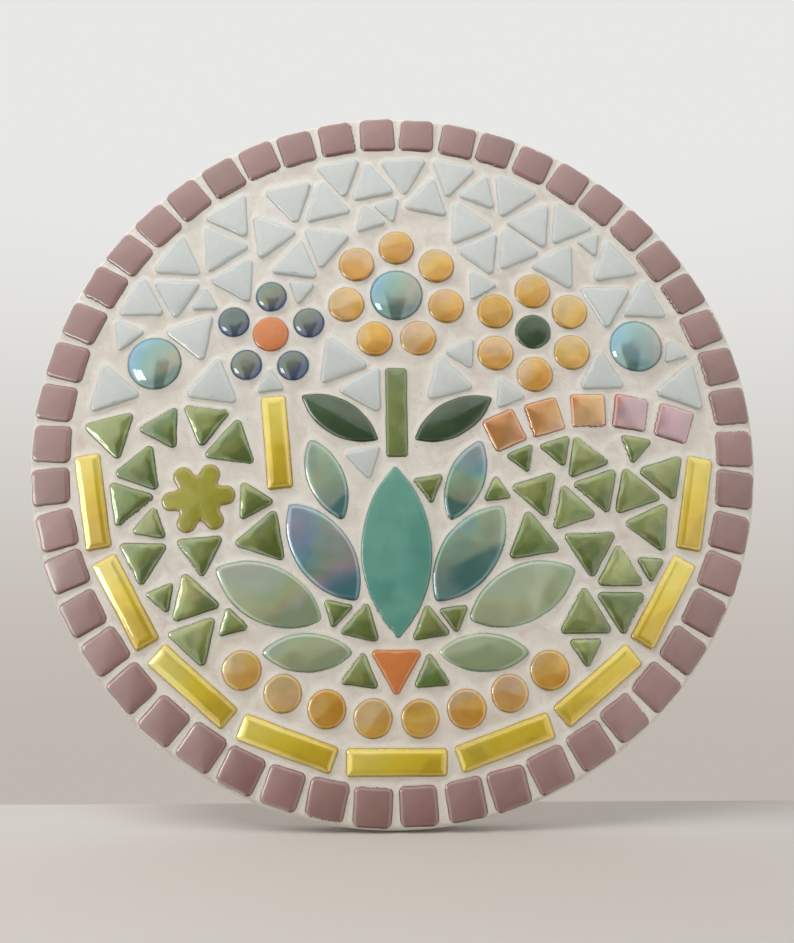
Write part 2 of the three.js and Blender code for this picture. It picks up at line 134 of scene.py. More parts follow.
def flat_loops(node, level, side):
    """The outlines of a node's flat faces at a level, from left to right."""
    bm = bmesh.new()
    bm.from_mesh(node.data)
    bmesh.ops.remove_doubles(bm, verts=bm.verts, dist=SAME_POINT)
    bm.normal_update()
    edges = outer_edges(flat_faces(bm, level, side))
    loops = [counter_clockwise(without_straight_corners(points)) for points in edges]
    bm.free()
    return sorted(loops, key=lambda points: (round(points.mean(0)[0], 2), round(points.mean(0)[1], 2)))


def counter_clockwise(points):
    """The outline turned counter-clockwise, from its leftmost point."""
    ahead = np.roll(points, -1, 0)
    area = (points[:, 0] * ahead[:, 1] - points[:, 1] * ahead[:, 0]).sum()
    points = points if area > 0 else points[::-1]
    first = int(np.argmin(points[:, 0] + LEAN * points[:, 1]))
    return np.roll(points, -first, 0)


def without_straight_corners(points):
    """An outline without the points that lie along its straight sides."""
    back = points - np.roll(points, 1, 0)
    ahead = np.roll(points, -1, 0) - points
    turn = np.abs(back[:, 0] * ahead[:, 1] - back[:, 1] * ahead[:, 0])
    turn /= np.linalg.norm(back, axis=1) * np.linalg.norm(ahead, axis=1)
    return points[turn > LEAST_TURN]


def resampled(path):
    """A closed path with its points spaced evenly."""
    closed = np.vstack([path, path[:1]])
    travelled = np.concatenate([[0], np.cumsum(np.linalg.norm(np.diff(closed, axis=0), axis=1))])
    count = max(LEAST_POINTS, int(round(travelled[-1] / STEP)))
    at = np.linspace(0, travelled[-1], count, endpoint=False)
    return np.stack([np.interp(at, travelled, closed[:, k]) for k in (0, 1)], 1)


def with_round_corners(corners, radius):
    """A convex outline with each corner turned on an arc."""
    path = []
    for i, corner in enumerate(corners):
        back, ahead = corners[i - 1] - corner, corners[(i + 1) % len(corners)] - corner
        back_length, ahead_length = np.linalg.norm(back), np.linalg.norm(ahead)
        back, ahead = back / back_length, ahead / ahead_length
        half = math.acos(np.clip(back @ ahead, -1, 1)) / 2
        reach = min(radius / math.tan(half), CORNER_SHARE * min(back_length, ahead_length))
        turn_radius = reach * math.tan(half)
        middle = (back + ahead) / np.linalg.norm(back + ahead)
        centre = corner + middle * turn_radius / math.sin(half)
        start = corner + back * reach - centre
        sweep = math.pi - 2 * half
        steps = max(3, math.ceil(sweep * turn_radius / ARC_STEP))
        angle = math.atan2(start[1], start[0])
        for a in np.linspace(angle, angle + sweep, steps + 1):
            path.append(centre + turn_radius * np.array([math.cos(a), math.sin(a)]))
    return resampled(np.array(path))


def curve_through(points):
    """Points along a smooth curve through the given ones, from the first to the last."""
    padded = np.vstack([2 * points[:1] - points[1:2], points, 2 * points[-1:] - points[-2:-1]])
    path = []
    for a, b, c, d in zip(padded, padded[1:], padded[2:], padded[3:]):
        slope = c - a
        bend = 2 * a - 5 * b + 4 * c - d
        twist = 3 * b - a - 3 * c + d
        for t in np.linspace(0, 1, CURVE_STEPS, endpoint=False):
            path.append(0.5 * (2 * b + slope * t + bend * t**2 + twist * t**3))
    return np.array(path)


def leaf_curves(loop):
    """A leaf's two smooth sides, which meet at its two tips."""
    apart = np.linalg.norm(loop[:, None] - loop[None], axis=2)
    first, second = sorted(np.unravel_index(apart.argmax(), apart.shape))
    there = loop[first:second + 1]
    back = np.vstack([loop[second:], loop[:first + 1]])
    return np.vstack([curve_through(there), curve_through(back)])


def lobe_curves(loop):
    """A smooth closed curve through all of an outline's points."""
    lap = 3
    closed = np.vstack([loop[-lap:], loop, loop[:lap]])
    return curve_through(closed)[lap * CURVE_STEPS:(lap + len(loop)) * CURVE_STEPS]


def softened(outline, sigma):
    """A closed outline smoothed along its length, which rounds off its facets and points."""
    points = resampled(outline)
    frequency = np.fft.fftfreq(len(points)) * 2 * math.pi / STEP
    keep = np.exp(-0.5 * (frequency * sigma) ** 2)[:, None]
    return resampled(np.fft.ifft(np.fft.fft(points, axis=0) * keep, axis=0).real)


def circle(outline):
    """The round outline that a many-sided one stands for."""
    centre = outline.mean(0)
    radius = np.linalg.norm(outline - centre, axis=1).mean()
    count = int(2 * math.pi * radius / ARC_STEP)
    angles = np.linspace(0, 2 * math.pi, count, endpoint=False)
    return centre + radius * np.stack([np.cos(angles), np.sin(angles)], 1)


def outward(outline):
    """The unit normals of a closed counter-clockwise outline."""
    along = np.roll(outline, -1, 0) - np.roll(outline, 1, 0)
    normals = np.stack([along[:, 1], -along[:, 0]], 1)
    return normals / np.linalg.norm(normals, axis=1)[:, None]


def ripple(count, waves, amount):
    """A closed, smooth, random ripple: one value for each point of an outline."""
    angles = np.linspace(0, 2 * math.pi, count, endpoint=False)
    total = np.zeros(count)
    for wave in waves:
        total += np.sin(wave * angles + rng.uniform(0, 2 * math.pi)) * rng.uniform(0.5, 1)
    return total * amount / len(waves)


# ---------------------------------------------------------------- tiles

# shape: how the outline is rounded; round_off: corner radius, or smoothing length of a leaf;
# edge and drop: width and depth of the rounded edge; crown: rise of the face; shoulder: the share
# of the half width over which it rises, 1 for a pillow, or how flat a dome's top is; tilt:
# degrees; wave: ripple of the face; nip: share of tiles that are nipped; grow: how far the glass
# stands outside the CAD outline; stray: how far a corner strays, as the tiles are cut by hand.
Style = namedtuple("Style", "shape round_off edge drop crown shoulder tilt wave nip grow stray")
PLANT_LEAF = Style("leaf", 1.9, 1.7, 1.4, 0.22, 1.0, 1.2, 0.02, 0.0, 0.3, 0.0)
STYLES = {
    "mauve_glass": Style("corners", 2.2, 1.5, 1.2, 0.14, 0.9, 0.9, 0.012, 0.4, 0.35, 0.35),
    "white_glass": Style("corners", 1.7, 1.3, 0.9, 0.1, 0.8, 0.8, 0.012, 0.1, 0.1, 0.3),
    "green_glass": Style("corners", 1.7, 1.2, 1.2, 0.3, 0.42, 1.3, 0.012, 0.5, 0.2, 0.3),
    "yellow_glass": Style("corners", 1.4, 1.1, 1.2, 0.4, 0.45, 0.8, 0.012, 0.2, 0.1, 0.12),
    "gold_glass": Style("round", 0, 1.2, 0.9, 0.14, 0.9, 1.3, 0.03, 0.0, 0.15, 0.0),
    "orange_glass": Style("corners", 1.6, 1.2, 1.0, 0.1, 0.8, 0.6, 0.012, 0.0, 0.1, 0.1),
    "dark_green_glass": Style("leaf", 0.8, 1.5, 1.2, 0.35, 1.0, 1.2, 0.02, 0.2, 0.2, 0.0),
    "turquoise_glass": Style("leaf", 0.7, 0.9, 0.7, 0.08, 1.0, 0.4, 0.02, 1.0, 0.3, 0.0),
    "teal_glass": PLANT_LEAF,
    "blue_glass": PLANT_LEAF,
    "pale_green_glass": PLANT_LEAF,
    "copper_glass": Style("corners", 1.8, 1.5, 1.2, 0.2, 0.9, 1.4, 0.02, 0.5, 0.0, 0.25),
    "stem_glass": Style("corners", 1.3, 1.2, 1.1, 0.2, 0.8, 0.6, 0.02, 0.3, 0.1, 0.1),
    "flower_ceramic": Style("lobes", 0.6, 1.6, 1.2, 0.1, 1.0, 0.3, 0.02, 0.0, 0.1, 0.0),
    "gem_glass": Style("dome", 0, 0, 0, 0, 2.8, 0.8, 0.02, 0.0, 0.0, 0.0),
    "small_gem_glass": Style("dome", 0, 0, 0, 0, 4.0, 1.5, 0.02, 0.0, 0.0, 0.0),
}
FULL_TRIANGLE = 20.0  # the side below which a triangle's edge and corners shrink with it
DISC_CROWN = 0.1
LONG_TILE = 1.6  # a tile this many times as long as wide is crowned along a line
LEAF_SLIMMING = 0.55  # how a leaf's inset is shared between its length and its width
CROWN_CURVE = 1.6
ROUNDING = 0.6  # how soon a triangle's or square's face turns round on its way in
CUT_WAVES = (2, 3, 5, 7)
CUT_RIPPLE = 0.16
NIP_DEPTH = 0.75
NIP_FROM = 0.6  # how squarely the outline has to face the nippers before it breaks
NIP_ONSET = 5
FLAKE_WAVES = (9, 14, 23, 31)
FLAKE_SIZE = 2.0
CRUMBS = 0.3
TILT_SPREAD = 1.5  # a style's tilt is this many standard deviations
FACE_WAVES = 3
FACE_WAVE_NUMBERS = (0.25, 0.7)
EDGE_ANGLES = [math.radians(a) for a in (18, 36, 54, 72, 90)]
FACE_SHARES = (0.1, 0.22, 0.36, 0.5, 0.62, 0.77, 0.9)
DOME_SHARES = (0.012, 0.03, 0.06, 0.1, 0.16, 0.24, 0.34, 0.46, 0.6, 0.75, 0.88)
DOME_EDGE_LEVEL = 12.2
DOME_CURVE = 0.6
DOME_WAVES = (2, 3)
DOME_RIPPLE = 0.012
GEM_FOOT = 0.92  # a gem's foot in the CAD node, as a share of its widest part


class Patch:
    """The points and faces of one visual piece, with the values its materials read."""

    def __init__(self):
        self.points = []
        self.faces = []
        self.total = 0
        self.values = {"rim": [], "local_x": [], "local_z": [], "tint": [], "pick": []}

    def ring(self, plane, levels, **values):
        """Adds a ring of points and returns their numbers."""
        count = len(plane)
        levels = np.broadcast_to(levels, count)
        self.points.append(np.stack([plane[:, 0], -levels, plane[:, 1]], 1))
        for name, stored in self.values.items():
            stored.append(np.broadcast_to(values.get(name, 0.0), count))
        first = self.total
        self.total += count
        return list(range(first, first + count))

    def join(self, lower, upper):
        """Quads between two rings of the same length."""
        count = len(lower)
        for i in range(count):
            j = (i + 1) % count
            self.faces.append((lower[i], lower[j], upper[j], upper[i]))

    def close(self, ring, middle):
        """A fan of triangles from a ring to its middle point."""
        for i in range(len(ring)):
            self.faces.append((ring[i], ring[(i + 1) % len(ring)], middle))

    def mesh(self, name):
        mesh = bpy.data.meshes.new(name)
        points = np.concatenate(self.points) * MM
        mesh.from_pydata(points.tolist(), [], self.faces)
        for key, stored in self.values.items():
            mesh.attributes.new(key, "FLOAT", "POINT").data.foreach_set("value", np.concatenate(stored))
        mesh.validate()
        mesh.shade_smooth()
        return mesh


def spine_of(outline, shape):
    """Where each point of a face runs to as the face rises: its centre, or the line along a long tile."""
    centre = outline.mean(0)
    offset = outline - centre
    axis = np.linalg.eigh(offset.T @ offset)[1][:, 1]
    reach = offset @ axis
    half_width = np.abs(offset @ np.array([-axis[1], axis[0]])).max()
    half_length = np.abs(reach).max()
    free = half_length - half_width
    if shape != "corners" or half_length < LONG_TILE * half_width:
        return np.broadcast_to(centre, outline.shape), True
    return centre + np.clip(reach, -free, free)[:, None] * axis, False


def tile_outline(loop, style):
    """The outline of the glass that a CAD outline stands for, cut by hand."""
    if style.shape == "corners":
        cut = loop + rng.uniform(-style.stray, style.stray, loop.shape)
        outline = with_round_corners(cut, style.round_off)
    elif style.shape == "leaf":
        outline = softened(leaf_curves(loop), style.round_off)
    elif style.shape == "lobes":
        outline = softened(lobe_curves(loop), style.round_off)
    else:
        outline = circle(loop)
    grown = style.grow + ripple(len(outline), CUT_WAVES, CUT_RIPPLE)
    return outline + outward(outline) * grown[:, None]


def face_ripple(plane, centre, style):
    """The slope and slight unevenness of one tile's face."""
    slope = np.tan(np.radians(rng.normal(0, style.tilt / TILT_SPREAD, 2)))
    relief = (plane - centre) @ slope
    for _ in range(FACE_WAVES):
        direction = rng.uniform(0, 2 * math.pi)
        wave = rng.uniform(*FACE_WAVE_NUMBERS)
        phase = rng.uniform(0, 2 * math.pi)
        along = plane @ np.array([math.cos(direction), math.sin(direction)])
        relief = relief + style.wave * np.sin(along * wave + phase)
    return relief


def nipped(outline):
    """How much tile nippers broke off at each point: flakes along one side of the outline."""
    side = rng.uniform(0, 2 * math.pi)
    facing = outward(outline) @ np.array([math.cos(side), math.sin(side)])
    broken = np.clip((facing - NIP_FROM) * NIP_ONSET, 0, 1)
    flakes = np.abs(ripple(len(outline), FLAKE_WAVES, FLAKE_SIZE)) + rng.uniform(0, CRUMBS, len(outline))
    return np.clip(broken * flakes, 0, 1) * NIP_DEPTH


def insets_of(outline, shape):
    """A function that gives the outline drawn in by so many mm, without a fold at a leaf's tips."""
    if shape != "leaf":
        normals = outward(outline)
        return lambda inset: outline - normals * np.reshape(inset, (-1, 1))
    centre = outline.mean(0)
    offset = outline - centre
    axes = np.linalg.eigh(offset.T @ offset)[1]
    half_width, half_length = np.abs(offset @ axes).max(0)
    reach = np.array([1 / half_width, (half_length / half_width) ** LEAF_SLIMMING / half_length])

    def drawn_in(inset):
        shares = 1 - np.reshape(inset, (-1, 1)) * reach
        return centre + (offset @ axes * shares) @ axes.T

    return drawn_in


def face_rings(inner, spine, rounder):
    """The face drawn in by shares towards its spine, turning round on the way where asked."""
    offset = inner - spine
    distance = np.linalg.norm(offset, axis=1)[:, None]
    even = offset / distance * distance.mean()
    for share in FACE_SHARES:
        turned = share ** ROUNDING if rounder else 0.0
        yield share, spine + (1 - share) * ((1 - turned) * offset + turned * even)


def add_tile(patch, loop, style, marks):
    """One tile: a wall out of the grout, a rounded edge and a crowned face. Returns its outline."""
    outline = tile_outline(loop, style)
    depth = np.zeros(len(outline))
    if rng.uniform() < style.nip:
        depth = nipped(outline)
    drawn_in = insets_of(outline, style.shape)
    centre = outline.mean(0)
    size = np.linalg.norm(outline - centre, axis=1).mean()
    inner = drawn_in(style.edge)
    spine, has_centre = spine_of(inner, style.shape)
    half_width = np.linalg.norm(inner - spine, axis=1).mean()

    # each ring: its points, level, distance from the edge and share of the face's slope and ripple
    broken = drawn_in(depth)
    rings = [(broken, WALL_FOOT, 0.0, 0.0), (broken, FACE_LEVEL - style.drop, 0.0, 0.6)]
    for a in EDGE_ANGLES:
        inset = style.edge * (1 - math.cos(a))
        ring = drawn_in(inset + depth * math.cos(a))
        rings.append((ring, FACE_LEVEL - style.drop * (1 - math.sin(a)), inset, 1.0))
    for share, ring in face_rings(inner, spine, has_centre and style.shape == "corners"):
        rise = style.crown * (1 - (1 - min(share / style.shoulder, 1)) ** CROWN_CURVE)
        rings.append((ring, FACE_LEVEL + rise, style.edge + half_width * share, 1.0))
    if has_centre:
        rings.append((spine[:1], FACE_LEVEL + style.crown, style.edge + half_width, 1.0))
    lay_rings(patch, rings, centre, size, style, marks)
    return outline


def add_gem(patch, loop, style, marks, top):
    """A domed glass gem: steep at its edge, flatter on top. Returns its outline."""
    outline = circle(loop)
    centre = outline.mean(0)
    radius = np.linalg.norm(outline - centre, axis=1).mean()
    outline = centre + (outline - centre) * (1 + ripple(len(outline), DOME_WAVES, DOME_RIPPLE))[:, None]
    rings = [(outline, WALL_FOOT, 0.0, 0.0), (outline, DOME_EDGE_LEVEL, 0.0, 0.5)]
    for share in DOME_SHARES:
        height = (top - DOME_EDGE_LEVEL) * (1 - (1 - share) ** style.shoulder) ** DOME_CURVE
        ring = outline + (centre - outline) * share
        rings.append((ring, DOME_EDGE_LEVEL + height, radius * share, 1.0))
    rings.append((centre[None], top, radius, 1.0))
    lay_rings(patch, rings, centre, radius, style, marks)
    return outline


def lay_rings(patch, rings, centre, size, style, marks):
    """Adds the rings of one tile to its piece, with the tile's slope, and closes it top and bottom."""
    state = rng.bit_generator.state  # every ring of a tile has the same slope and ripple
    numbers = []
    for plane, level, rim, share in rings:
        rng.bit_generator.state = state
        relief = face_ripple(plane, centre, style) * share
        local_x, local_z = ((plane - centre) / size).T
        level = level + relief
        numbers.append(patch.ring(plane, level, rim=rim, local_x=local_x, local_z=local_z, **marks))
    for lower, upper in zip(numbers, numbers[1:]):
        if len(upper) == 1:
            patch.close(lower, upper[0])
        else:
            patch.join(lower, upper)
    patch.faces.append(tuple(reversed(numbers[0])))
    if len(numbers[-1]) > 1:
        patch.faces.append(tuple(numbers[-1]))


# ---------------------------------------------------------------- grout and board

GROUT_GRID = 300
GROUT_RADIUS = PANEL_RADIUS - 0.15
RIM_START = 148.1  # the grout falls away outside this radius
RIM_SHARE = 0.95  # the share of the grid inside it
RIM_DROP = 2.3
RIM_CURVE = 1.7
MENISCUS = 0.42
MENISCUS_REACH = 0.8
SAG = 0.3
SAG_REACH = 3.5
SAG_CURVE = 1.5
BROAD_SWELL = 0.07
BROAD_WAVES = (0.21, 0.17)
FINE_SWELL = 0.05
FINE_WAVES = (0.63, 0.41)
SAND = 0.025


def disc_grid(count):
    """A square grid drawn out to the panel's disc, closer together at the rim."""
    a, b = np.meshgrid(np.linspace(-1, 1, count + 1), np.linspace(-1, 1, count + 1), indexing="ij")
    wide = np.abs(a) > np.abs(b)
    reach = np.where(wide, a, b)
    other = np.where(wide, b, a)
    share = np.divide(other, reach, out=np.zeros_like(reach), where=reach != 0)
    angle = np.where(wide, share * math.pi / 4, math.pi / 2 - share * math.pi / 4)
    radius = np.interp(np.abs(reach), [0, RIM_SHARE, 1], [0, RIM_START, GROUT_RADIUS])
    radius *= np.sign(reach)
    return np.stack([radius * np.cos(angle), radius * np.sin(angle)], -1)


def grout_levels(plane, edge_distance):
    """The grout climbs a little at each tile, sags between tiles and falls away at the rim."""
    x, z = plane[:, 0], plane[:, 1]
    level = GROUT_LEVEL + MENISCUS * np.exp(-((edge_distance / MENISCUS_REACH) ** 2))
    level -= SAG * np.clip(edge_distance / SAG_REACH, 0, 1) ** SAG_CURVE
    broad = BROAD_SWELL * np.sin(x * BROAD_WAVES[0] + 1) * np.sin(z * BROAD_WAVES[1] + 2)
    level += broad + FINE_SWELL * np.sin(x * FINE_WAVES[0] + z * FINE_WAVES[1])
    level += rng.normal(0, SAND, len(x))
    past_rim = np.clip((np.hypot(x, z) - RIM_START) / (PANEL_RADIUS - RIM_START), 0, 1)
    return level - RIM_DROP * past_rim ** RIM_CURVE


def distances_to(outlines, plane):
    """How far each point of the plane is from the nearest tile's outline."""
    marks = np.concatenate(outlines)
    tree = kdtree.KDTree(len(marks))
    for i, (x, z) in enumerate(marks):
        tree.insert((x, z, 0), i)
    tree.balance()
    return np.array([tree.find((x, z, 0))[2] for x, z in plane])


def make_grout(outlines):
    """The grout's face, its outer wall and its flat foot on the board."""
    side = GROUT_GRID + 1
    plane = disc_grid(GROUT_GRID).reshape(-1, 2)
    distance = distances_to(outlines, plane)
    patch = Patch()
    patch.ring(plane, grout_levels(plane, distance), rim=distance, local_x=plane[:, 0], local_z=plane[:, 1])
    for i in range(GROUT_GRID):
        for j in range(GROUT_GRID):
            k = i * side + j
            patch.faces.append((k, k + side, k + side + 1, k + 1))
    last = GROUT_GRID
    border = [i * side for i in range(last)] + [last * side + j for j in range(last)]
    border += [(last - i) * side + last for i in range(last)] + [last - j for j in range(last)]
    foot = patch.ring(plane[border], BOARD_LEVEL, rim=RIM_SPAN)
    for i in range(len(border)):
        j = (i + 1) % len(border)
        patch.faces.append((border[j], border[i], foot[i], foot[j]))
    patch.faces.append(tuple(reversed(foot)))
    return patch.mesh("grout_bed")


BOARD_SIDES = 240
# radius and level, from the back, round the edge, to the front under the grout
BOARD_PROFILE = [(60.0, 0.0), (120.0, 0.0), (146.0, 0.0), (149.0, 0.0), (149.6, 0.15), (149.9, 0.5),
                 (150.0, 1.0), (150.0, 3.0), (150.0, 5.0), (150.0, 7.4), (149.95, 8.3), (149.7, 9.1),
                 (148.5, 9.3)]


def make_board():
    """The board: flat back, eased edges, turned about its axis."""
    patch = Patch()
    angles = np.linspace(0, 2 * math.pi, BOARD_SIDES, endpoint=False)
    around = np.stack([np.cos(angles), np.sin(angles)], 1)
    centre = patch.ring(np.zeros((1, 2)), 0.0)[0]
    rings = [patch.ring(around * radius, level) for radius, level in BOARD_PROFILE]
    for i in range(BOARD_SIDES):
        patch.faces.append((rings[0][(i + 1) % BOARD_SIDES], rings[0][i], centre))
    for inner, outer in zip(rings, rings[1:]):
        for i in range(BOARD_SIDES):
            j = (i + 1) % BOARD_SIDES
            patch.faces.append((inner[i], inner[j], outer[j], outer[i]))
    patch.faces.append(tuple(rings[-1]))
    return patch.mesh("painted_board")


# ---------------------------------------------------------------- materials

def rgb(red, green, blue):
    """An sRGB colour, 0 to 255 each, as a linear colour."""
    def linear(c):
        c /= 255
        return c / 12.92 if c <= 0.04045 else ((c + 0.055) / 1.055) ** 2.4
    return (linear(red), linear(green), linear(blue), 1.0)


NOISE_LOW, NOISE_HIGH = 0.3, 0.7  # nearly all of a noise texture's values lie between these


class Graph:
    """Shorthands for the nodes of one material or world."""

    def __init__(self, owner):
        owner.use_nodes = True
        self.tree = owner.node_tree
        self.coordinates = self.add("ShaderNodeTexCoord").outputs

    def add(self, kind, **settings):
        node = self.tree.nodes.new(kind)
        for key, value in settings.items():
            setattr(node, key, value)
        return node

    def feed(self, socket, value):
        """Links another node's output to the socket, or sets the socket to a plain value."""
        if isinstance(value, bpy.types.NodeSocket):
            self.tree.links.new(value, socket)
        else:
            socket.default_value = value

    def value(self, name):
        """One of the values that a Patch stores with its points."""
        return self.add("ShaderNodeAttribute", attribute_name=name).outputs["Fac"]

    def calc(self, operation, a, b):
        node = self.add("ShaderNodeMath", operation=operation)
        self.feed(node.inputs[0], a)
        self.feed(node.inputs[1], b)
        return node.outputs[0]

    def plus(self, a, b):
        return self.calc("ADD", a, b)

    def times(self, a, b):
        return self.calc("MULTIPLY", a, b)

    def spread(self, value, low, high, to_low=0.0, to_high=1.0, curve="LINEAR"):
        """The value carried from one range to another, and held at its ends."""
        node = self.add("ShaderNodeMapRange", interpolation_type=curve)
        for socket, number in zip(node.inputs, (value, low, high, to_low, to_high)):
            self.feed(socket, number)
        return node.outputs[0]

    def noise(self, scale, detail=2.0, roughness=0.5, distortion=0.0, shift=None):
        """Noise over the panel. Where a shift is given, it is a fourth coordinate."""
        node = self.add("ShaderNodeTexNoise", noise_dimensions="4D" if shift else "3D")
        self.feed(node.inputs["Vector"], self.coordinates["Object"])
        if shift:
            self.feed(node.inputs["W"], shift)
        node.inputs["Scale"].default_value = scale
        node.inputs["Detail"].default_value = detail
        node.inputs["Roughness"].default_value = roughness
        node.inputs["Distortion"].default_value = distortion
        return node.outputs["Fac"]

    def varied(self, noise, low, high):
        """A noise spread over a whole range."""
        return self.spread(noise, NOISE_LOW, NOISE_HIGH, low, high)

    def cells(self, scale):
        node = self.add("ShaderNodeTexVoronoi")
        self.feed(node.inputs["Vector"], self.coordinates["Object"])
        node.inputs["Scale"].default_value = scale
        return node.outputs["Distance"]

    def mix(self, factor, a, b):
        """One colour mixed into another: a where the factor is 0, b where it is 1."""
        node = self.add("ShaderNodeMix", data_type="RGBA")
        factor_socket, a_socket, b_socket = node.inputs[0], node.inputs[6], node.inputs[7]
        self.feed(factor_socket, factor)
        self.feed(a_socket, a)
        self.feed(b_socket, b)
        return node.outputs[2]

    def ramp(self, factor, stops, interpolation="EASE"):
        node = self.add("ShaderNodeValToRGB")
        node.color_ramp.interpolation = interpolation
        elements = node.color_ramp.elements
        while len(elements) < len(stops):
            elements.new(0.5)
        for element, (position, colour) in zip(elements, stops):
            element.position = position
            element.color = colour
        self.feed(node.inputs[0], factor)
        return node.outputs[0]

    def shifted(self, colour, hue, value):
        node = self.add("ShaderNodeHueSaturation")
        self.feed(node.inputs["Hue"], hue)
        self.feed(node.inputs["Value"], value)
        self.feed(node.inputs["Color"], colour)
        return node.outputs["Color"]

    def bump(self, height, distance, strength, normal=None):
        """A bumpy normal, on top of another where one is given. The distance is in metres."""
        node = self.add("ShaderNodeBump")
        node.inputs["Strength"].default_value = strength
        node.inputs["Distance"].default_value = distance
        self.feed(node.inputs["Height"], height)
        if normal:
            self.feed(node.inputs["Normal"], normal)
        return node.outputs["Normal"]


class Finish(Graph):
    """A material's nodes, which feed its one shader."""

    def __init__(self, name):
        self.material = bpy.data.materials.new(name)
        super().__init__(self.material)
        self.inputs = self.tree.nodes["Principled BSDF"].inputs

    def give(self, **values):
        """Feeds the shader: its inputs are named with spaces, the arguments with underscores."""
        for name, value in values.items():
            self.feed(self.inputs[name.replace("_", " ")], value)


